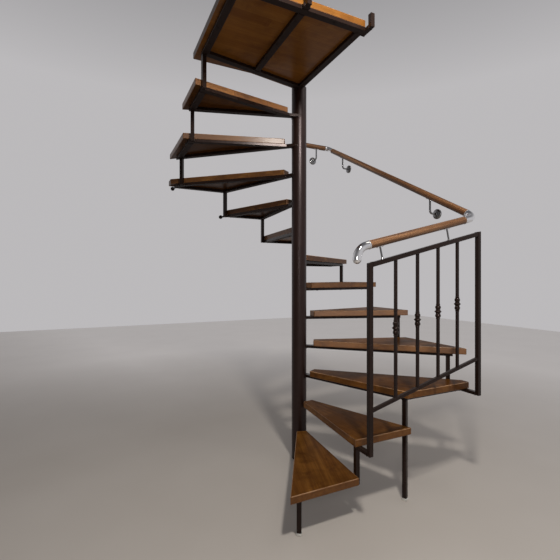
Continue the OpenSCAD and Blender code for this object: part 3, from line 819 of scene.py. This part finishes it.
def guard_welds():
    shape = Shape()
    for drop, t in ((0.0, GUARD_T), (LOW_RAIL_DROP, LOW_RAIL_T)):
        for x in (GUARD_X1 + GUARD_T / 2, GUARD_X2 - GUARD_T / 2):
            high = guard_top(x) - drop
            low = high - t / GUARD_COS
            front, back = GUARD_Y - t / 2, GUARD_Y + t / 2
            shape.bead([Vector((x, front, low)), Vector((x, front, high)), Vector((x, back, high)),
                        Vector((x, back, low)), Vector((x, front, low))], RAIL_BEAD)
    for x in BALUSTERS:
        for z in (guard_top(x) - LOW_RAIL_DROP, guard_top(x) - GUARD_T / GUARD_COS):
            square_ring(shape, Vector((x, GUARD_Y, z)), 0, BALUSTER_W, SMALL_BEAD, math.tan(GUARD_LEAN))
    for x, z, foot_y in ((GUARD_X1 - GUARD_T / 2, frame_low(2), -FRAME_HALF),
                         (FRAME_HALF, frame_low(3), SIDE_BRACKET_Y)):
        for y in (foot_y, GUARD_Y + GUARD_T / 2):
            under_bar(shape, Vector((x, y, z)), Vector((x + GUARD_T, y, z)), CORNER_BEAD)
    shape.done("guard_welds", WELD)


# height above the collar's middle and radius of each neck
NECKS = ((-0.0405, 0.0118), (-0.0105, 0.0128), (0.0105, 0.0128), (0.0405, 0.0118))


def collar_necks():
    """Turned necks above, between and below the beads of each collar."""
    shape = Shape()
    for x in BALUSTERS:
        middle = guard_top(x) - LOW_RAIL_DROP - LOW_RAIL_T / GUARD_COS / 2 + COLLAR_UP
        for height, r in NECKS:
            profile = [(r * 0.80, -0.0034), (r * 0.95, -0.0027), (r, -0.0013),
                       (r, 0.0013), (r * 0.95, 0.0027), (r * 0.80, 0.0034)]
            shape.lathe(Vector((x, GUARD_Y, middle + height)), UP, profile, 28)
    shape.done("collar_necks", STEEL)


# along a tread's bar: from the column to the first screw, and from the last screw to the bar's far end
FIRST_SCREW = 0.20
LAST_SCREW_IN = 0.09
# in the landing: Y on each cross bar, X on the far bar
CROSS_BAR_SCREWS = (-0.66, -0.43, -0.27)
FAR_BAR_SCREWS = (-0.58, -0.19)


def board_screws():
    """The screws that hold the boards from below, three in each tread's bar and eleven under the landing."""
    shape = Shape()
    for k in range(1, TREADS + 1):
        bars = ((line_angle(k - 1), BAR_PAST + BAR_W / 2), (line_angle(k), BAR_PAST - BAR_W / 2))
        for angle, side in bars:
            last = reach(angle, side, FRAME_HALF) - LAST_SCREW_IN
            for r in (FIRST_SCREW, 0.5 * (FIRST_SCREW + last), last):
                shape.screw(out(angle, r, side, frame_low(k)), -UP)
    for x in (-FRAME_HALF + BAR_W / 2, MIDDLE_BAR_X + BAR_W / 2, LANDING_PAST - BAR_W / 2):
        for y in CROSS_BAR_SCREWS:
            shape.screw(Vector((x, y, LANDING_LOW)), -UP)
    for x in FAR_BAR_SCREWS:
        shape.screw(Vector((x, -LANDING_DEPTH + BAR_W / 2, LANDING_LOW)), -UP)
    shape.done("board_screws", SCREW)


# length, half of the angle that it hugs, and distance of the screws from its middle
PIN_SADDLE = (0.052, 0.42, 0.0185)
WALL_SADDLE = (0.058, 0.46, 0.0205)
SADDLE_SCREW_R = 0.0036
SCREW_LET_IN = 0.0002
FLANGE = [(0.0112, -0.0002), (0.0116, 0.0008), (0.0112, 0.0024), (0.0086, 0.0034), (0.0066, 0.0050),
          (0.0058, 0.0078), (0.0052, 0.0086)]


def rail_saddle(shape, at, along, down, length, half, screws):
    """A saddle under the rail with a screw towards each end."""
    shape.saddle(at, along, down, length, half)
    for u in (-screws, screws):
        shape.screw(at + along * u + down * (RAIL_R + SADDLE_T - SCREW_LET_IN), down, SADDLE_SCREW_R)


def rail_saddles():
    """Flanges at the feet of the pins and saddles between the rail and what carries it."""
    shape = Shape()
    for x in PINS:
        foot = Vector((x, GUARD_Y, guard_top(x)))
        shape.lathe(foot, PIN_DIR, FLANGE, 28)
        rail_saddle(shape, foot + PIN_DIR * (RAIL_UP * GUARD_COS), RAIL_DIR, -PIN_DIR, *PIN_SADDLE)
    down = WALL_DIR.cross(Vector((1, 0, 0))).normalized()
    down = down if down.z < 0 else -down
    for y in BRACKETS_Y:
        rail_saddle(shape, Vector((WALL_RAIL_X, y, wall_rail_z(y))), WALL_DIR, down, *WALL_SADDLE)
    back = Vector((BRACKET_X, BACK_RAIL_Y, wall_rail_z(BACK_RAIL_Y)))
    rail_saddle(shape, back, BACK_DIR, -UP, *WALL_SADDLE)
    shape.done("rail_saddles", CHROME)


def rail_lips():
    """Thin rolled lips where the wood enters its sleeves."""
    shape = Shape()
    front_leg = FRONT_BEND_R * math.tan(RAIL_DIR.angle(WALL_DIR) / 2)
    back_leg = BACK_BEND_R * math.tan(WALL_DIR.angle(BACK_DIR) / 2)
    profile = [(RAIL_R * 0.99, -0.0030), (RAIL_R + 0.0006, -0.0029), (RAIL_R + 0.0015, -0.0016),
               (RAIL_R + 0.0016, 0.0004), (RAIL_R + 0.0010, 0.0022), (RAIL_R * 0.99, 0.0030)]
    for at, along in ((Vector((RAIL_X1, GUARD_Y, rail_z(RAIL_X1))), RAIL_DIR),
                      (FRONT_CORNER - RAIL_DIR * (front_leg + SLEEVE), RAIL_DIR),
                      (FRONT_CORNER + WALL_DIR * front_leg, WALL_DIR),
                      (BACK_CORNER - WALL_DIR * (back_leg + SLEEVE), WALL_DIR),
                      (BACK_CORNER + BACK_DIR * back_leg, BACK_DIR),
                      (Vector((BACK_RAIL_END, BACK_RAIL_Y, BACK_CORNER.z)), BACK_DIR)):
        shape.lathe(at, along, profile, 48)
    shape.done("rail_lips", CHROME)


# radius and height of each ring
ROSETTE = [(0.0350, -0.0078), (0.0352, 0.0), (0.0347, 0.0016), (0.0325, 0.0036), (0.0285, 0.0058),
           (0.0230, 0.0080), (0.0170, 0.0097), (0.0118, 0.0106), (0.0102, 0.0112), (0.0098, 0.0134),
           (0.0086, 0.0150), (0.0074, 0.0152)]
ROSETTE_T = 0.008


def rosette_covers():
    """Domed covers over the wall plates, with a collar round the arm."""
    shape = Shape()
    fixed = [(Vector((WALL_RAIL_X, y, wall_rail_z(y))), Vector((1, 0, 0))) for y in BRACKETS_Y]
    fixed.append((Vector((BRACKET_X, BACK_RAIL_Y, BACK_CORNER.z)), Vector((0, 1, 0))))
    for rail, to_wall in fixed:
        shape.lathe(rail - UP * DROP + to_wall * (WALL_GAP - ROSETTE_T), -to_wall, ROSETTE, 48)
    shape.done("rosette_covers", CHROME_PAINTED_DARK)


# half width and height of each ring
PLUG = ((0.0140, 0.0), (0.0156, 0.0008), (0.0160, 0.0020), (0.0160, 0.0062), (0.0153, 0.0066),
        (0.0153, 0.0074), (0.0160, 0.0078), (0.0158, 0.0100), (0.0150, 0.0114), (0.0136, 0.0120))
# how square a ring is: 2 would be a circle
SQUARENESS = 7
# one post stands before the first tread and one behind the second
POST_LINES = (0, 2)


def foot_plugs():
    """Rounded plastic plugs with a step and a groove stand in for the plain feet."""
    plugs = Shape()
    for k in POST_LINES:
        rows = []
        for half, z in PLUG:
            row = []
            for turn in full_turn(32):
                x, y = math.cos(turn), math.sin(turn)
                r = half * (abs(x) ** SQUARENESS + abs(y) ** SQUARENESS) ** (-1 / SQUARENESS)
                row.append(post_foot(k) + out(line_angle(k), x * r, y * r, z))
            rows.append(row)
        plugs.rings(rows)
    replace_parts(plugs.done("foot_plugs", FOOT), "post_feet")


frame_welds()
landing_welds()
guard_welds()
collar_necks()
board_screws()
rail_saddles()
rail_lips()
rosette_covers()
foot_plugs()


# Stage, light and camera

# the camera of the photo, and how many of its 560 pixels the picture is shifted
CAMERA_AT = (-1.3515, -2.4803, 1.314)
CAMERA_LOOK = (0.4343, 0.9008, 0.0)
CAMERA_LENS = 24.63
SENSOR = 36.0
PHOTO_SIDE = 560
SHIFT = -1.27


def aim(o, direction):
    o.rotation_euler = Vector(direction).to_track_quat("-Z", "Y").to_euler()


def studio_floor():
    """A pale matt floor that brightens into the backdrop far from the stair, but not on the dim side."""
    half = 9.0
    corners = [(-half, -half, 0), (half, -half, 0), (half, half, 0), (-half, half, 0)]
    mesh = bpy.data.meshes.new("studio_floor")
    mesh.from_pydata(corners, [], [(0, 1, 2, 3)])
    o = add_object("studio_floor", mesh)
    mat = Material("studio_floor_paint")
    place = mat.place()
    cloud = mat.noise(place, 1.5, 2.0, 0.5)
    mat.look("Base Color", mat.ramp(cloud, [(0.3, (0.58, 0.535, 0.485)), (0.7, (0.61, 0.565, 0.515))]))
    mat.look("Roughness", 0.75)
    length = mat.add("ShaderNodeVectorMath", operation="LENGTH")
    mat.join(place, length.inputs[0])
    away = length.outputs["Value"]
    left = mat.math("DIVIDE", mat.math("MULTIPLY", mat.parts(place)[0], -1.0), away)
    glow = mat.math("MULTIPLY", mat.span(away, 1.0, 4.5, 0.0, 0.25), mat.span(left, 0.20, 0.95, 1.0, 0.0))
    mat.look("Emission Color", (0.98, 0.95, 0.96, 1))
    mat.look("Emission Strength", glow)
    mesh.materials.append(mat.made)


def light(name, kind, at, power, colour, size):
    """A light at a point. Size is the side of a square light or the radius of a round one."""
    data = bpy.data.lights.new(name, kind)
    data.energy = power
    data.color = colour
    if kind == "AREA":
        data.size = size
    else:
        data.shadow_soft_size = size
    o = add_object(name, data)
    o.location = at
    return o


def lights():
    light("ceiling_lamp", "POINT", at=(-0.45, -1.95, 2.97), power=148, colour=(1.0, 0.95, 0.89), size=0.13)
    upper = light("upper_floor", "AREA", at=(1.4, -1.2, 4.2), power=8, colour=(1.0, 0.93, 0.84), size=1.2)
    aim(upper, Vector((-0.3, -0.3, 2.6)) - upper.location)
    low = light("low_fill", "SPOT", at=(-1.55, -2.95, 1.80), power=42, colour=(1.0, 0.96, 0.92), size=0.25)
    aim(low, Vector((0.50, -0.35, 0.75)) - low.location)
    low.data.spot_size = math.radians(46)
    low.data.spot_blend = 0.7


def pale_room():
    """A pale room without walls: dimmer overhead, where the stair well is, and at the left."""
    world = bpy.data.worlds.new("studio")
    world.use_nodes = True
    sky = Nodes(world.node_tree)
    back = world.node_tree.nodes["Background"]
    ray = sky.add("ShaderNodeTexCoord").outputs["Generated"]
    rise = sky.parts(ray)[2]
    sky.join(sky.ramp(rise, [(0.42, (0.500, 0.488, 0.498)), (0.82, (0.120, 0.118, 0.124))]), back.inputs[0])
    to_left = sky.vector_math("DOT_PRODUCT", ray, (-0.95, -0.30, 0.0)).outputs["Value"]
    sky.join(sky.span(to_left, 0.20, 0.95, 1.0, 0.28), back.inputs[1])
    bpy.context.scene.world = world


def photo_camera():
    data = bpy.data.cameras.new("photo_camera")
    data.sensor_width = SENSOR
    data.lens = CAMERA_LENS
    data.shift_y = SHIFT / PHOTO_SIDE
    data.clip_start = 0.05
    data.clip_end = 60
    cam = add_object("photo_camera", data)
    cam.location = CAMERA_AT
    aim(cam, CAMERA_LOOK)
    bpy.context.scene.camera = cam


studio_floor()
lights()
pale_room()
photo_camera()
bpy.context.scene.view_settings.view_transform = "Standard"
